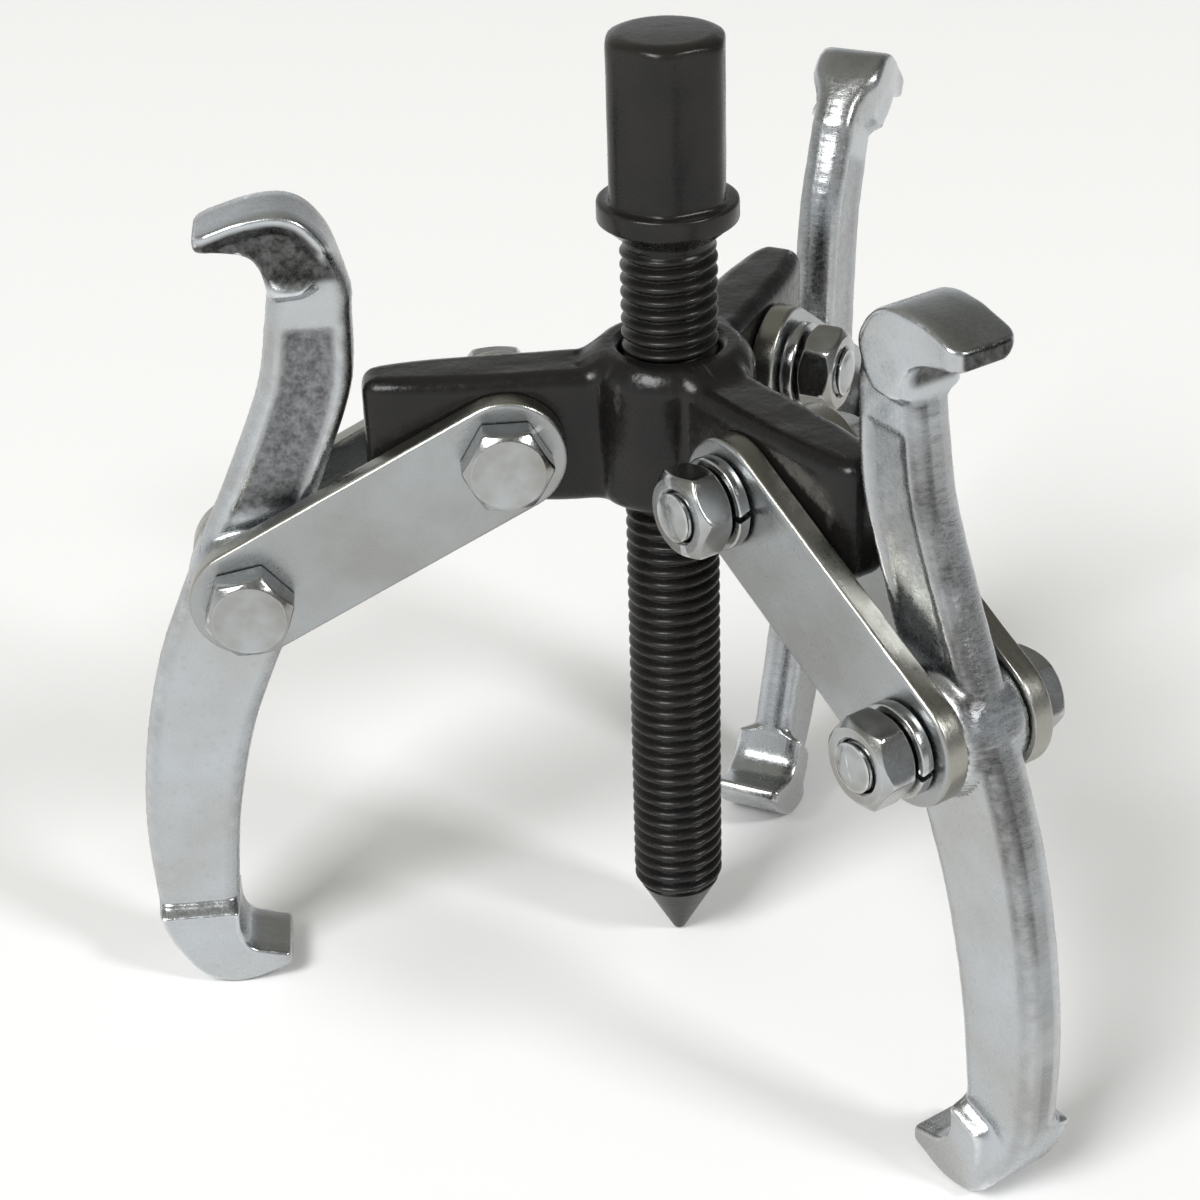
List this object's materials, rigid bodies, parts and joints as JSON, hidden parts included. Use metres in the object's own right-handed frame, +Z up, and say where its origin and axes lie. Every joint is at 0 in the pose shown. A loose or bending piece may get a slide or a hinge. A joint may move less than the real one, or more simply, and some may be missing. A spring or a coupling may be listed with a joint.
{
  "type": "gear puller",
  "caption": "Three-jaw reversible gear puller with a threaded yoke, a hex-headed forcing screw, paired flat straps and S-shaped forged jaws.",
  "frame": {"origin": "the flat on the forcing screw's point", "axes": "+Z up along the forcing screw towards its head; the left arm points along -X"},
  "size_m": [0.1128, 0.1308, 0.1277],
  "materials": {
    "forged_black": "black oxide, semi-gloss over a slightly lumpy forging",
    "screw_black": "black oxide, satin, lightly oiled",
    "jaw_zinc": "bright zinc plating over a forged and machined surface",
    "strap_zinc": "bright zinc plating on rolled flat bar",
    "fastener_zinc": "bright zinc plating, machined"
  },
  "bodies": {
    "yoke": {"yoke": "forged_black"},
    "screw": {"forcing_screw": "screw_black"},
    "left_link": {"left_strap_front": "strap_zinc", "left_strap_back": "strap_zinc", "left_arm_bolt": "fastener_zinc", "left_arm_lock_washer": "fastener_zinc", "left_arm_nut": "fastener_zinc", "left_jaw_bolt": "fastener_zinc", "left_jaw_lock_washer": "fastener_zinc", "left_jaw_nut": "fastener_zinc"},
    "left_jaw": {"left_jaw": "jaw_zinc"},
    "right_link": {"right_strap_front": "strap_zinc", "right_strap_back": "strap_zinc", "right_arm_bolt": "fastener_zinc", "right_arm_lock_washer": "fastener_zinc", "right_arm_nut": "fastener_zinc", "right_jaw_bolt": "fastener_zinc", "right_jaw_lock_washer": "fastener_zinc", "right_jaw_nut": "fastener_zinc"},
    "right_jaw": {"right_jaw": "jaw_zinc"},
    "rear_link": {"rear_strap_front": "strap_zinc", "rear_strap_back": "strap_zinc", "rear_arm_bolt": "fastener_zinc", "rear_arm_lock_washer": "fastener_zinc", "rear_arm_nut": "fastener_zinc", "rear_jaw_bolt": "fastener_zinc", "rear_jaw_lock_washer": "fastener_zinc", "rear_jaw_nut": "fastener_zinc"},
    "rear_jaw": {"rear_jaw": "jaw_zinc"}
  },
  "joints": [
    {"name": "screw_feed", "type": "slide", "parent": "yoke", "child": "screw", "axis": [0, 0, 1], "range_m": [-0.0133, 0.05]},
    {"name": "left_strap_hinge", "type": "hinge", "parent": "yoke", "child": "left_link", "pos_m": [-0.021, 0, 0.0775], "axis": [0, -1, 0], "range_deg": [-45, 10]},
    {"name": "left_jaw_hinge", "type": "hinge", "parent": "left_link", "child": "left_jaw", "pos_m": [-0.0536, 0, 0.06], "axis": [0, -1, 0], "range_deg": [0, 34]},
    {"name": "right_strap_hinge", "type": "hinge", "parent": "yoke", "child": "right_link", "pos_m": [0.0105, -0.01819, 0.0775], "axis": [0.866, 0.5, 0], "range_deg": [-45, 10]},
    {"name": "right_jaw_hinge", "type": "hinge", "parent": "right_link", "child": "right_jaw", "pos_m": [0.02677, -0.04637, 0.05989], "axis": [0.866, 0.5, 0], "range_deg": [0, 34]},
    {"name": "rear_strap_hinge", "type": "hinge", "parent": "yoke", "child": "rear_link", "pos_m": [0.0105, 0.01819, 0.0775], "axis": [-0.866, 0.5, 0], "range_deg": [-50, 4]},
    {"name": "rear_jaw_hinge", "type": "hinge", "parent": "rear_link", "child": "rear_jaw", "pos_m": [0.02592, 0.04489, 0.05705], "axis": [-0.866, 0.5, 0], "range_deg": [-24, 6]}
  ]
}
